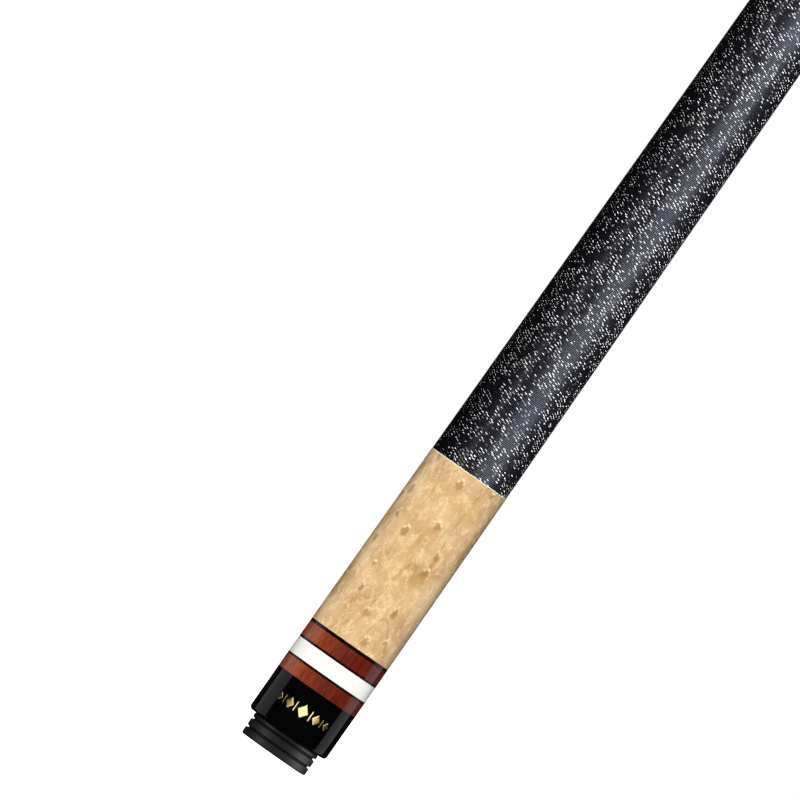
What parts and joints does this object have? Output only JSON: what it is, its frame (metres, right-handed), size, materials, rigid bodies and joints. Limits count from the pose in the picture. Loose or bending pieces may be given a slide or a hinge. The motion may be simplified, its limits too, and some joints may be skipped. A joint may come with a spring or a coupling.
{
  "type": "pool cue",
  "caption": "Two-piece pool cue: maple shaft screwed to a maple butt with a wound linen wrap, ring work, steel joint collar, cap and bumper.",
  "frame": {"origin": "middle of the bumper's flat end, the lowest point of the cue", "axes": "+Z along the cue's axis from the bumper to the tip"},
  "size_m": [0.0296, 0.0296, 1.448],
  "materials": {
    "birdseye_maple": "clear gloss lacquer",
    "shaft_maple": "sealed, burnished",
    "core_maple": "bare, glued",
    "red_wood": "clear gloss lacquer",
    "black_trim": "lacquered",
    "black_resin": "polished",
    "black_cap": "polished, with a plain gold ornament",
    "white_resin": "polished",
    "ferrule_white": "polished",
    "gold_foil": "pressed gold foil ornament on the cap",
    "silver": "polished",
    "polished_steel": "polished stainless",
    "machined_steel": "machined",
    "brass": "machined",
    "linen": "wound linen thread, pressed, white flecks",
    "fibre": "vulcanised fibre",
    "leather": "pressed, scuffed",
    "ring_rubber": "moulded",
    "bumper_rubber": "moulded satin"
  },
  "bodies": {
    "butt": {"butt_cap": "black_cap", "red_ring_low": "red_wood", "trim_ring_low": "black_trim", "white_ring": "white_resin", "trim_ring_middle": "black_trim", "red_ring_top": "red_wood", "trim_ring_top": "black_trim", "butt_sleeve": "birdseye_maple", "handle_core": "core_maple", "linen_wrap": "linen", "a_joint_stud": "machined_steel", "forearm": "birdseye_maple", "butt_thin_ring": "black_resin", "butt_silver_ring": "silver", "butt_collar_ring": "black_resin", "joint_collar": "polished_steel", "joint_pin": "machined_steel"},
    "shaft_lead": {"shaft_silver_ring": "silver"},
    "shaft": {"shaft_insert": "brass", "shaft_collar_ring": "black_resin", "shaft_thin_ring": "black_resin", "shaft_wood": "shaft_maple", "ferrule": "ferrule_white", "tip_pad": "fibre", "leather_tip": "leather"},
    "bolt_lead": {"bolt_ring": "ring_rubber"},
    "weight_bolt": {"weight_bolt": "machined_steel"},
    "bumper": {"bumper": "bumper_rubber"}
  },
  "joints": [
    {"name": "shaft_rise", "type": "slide", "parent": "butt", "child": "shaft_lead", "axis": [0, 0, 1], "range_m": [0, 0.02358]},
    {"name": "shaft_unscrew", "type": "hinge", "parent": "shaft_lead", "child": "shaft", "pos_m": [0, 0, 0.71], "axis": [0, 0, 1], "range_deg": [0, 4680]},
    {"name": "bolt_back_out", "type": "slide", "parent": "butt", "child": "bolt_lead", "axis": [0, 0, -1], "range_m": [0, 0.00952]},
    {"name": "bolt_unscrew", "type": "hinge", "parent": "bolt_lead", "child": "weight_bolt", "pos_m": [0, 0, 0.0352], "axis": [0, 0, -1], "range_deg": [0, 2160]},
    {"name": "bumper_pull", "type": "slide", "parent": "butt", "child": "bumper", "axis": [0, 0, -1], "range_m": [0, 0.014]}
  ],
  "couplings": [
    {"joint": "shaft_unscrew", "follows": "shaft_rise", "rad_per_m": 3463.2},
    {"joint": "bolt_unscrew", "follows": "bolt_back_out", "rad_per_m": 3957.9}
  ]
}
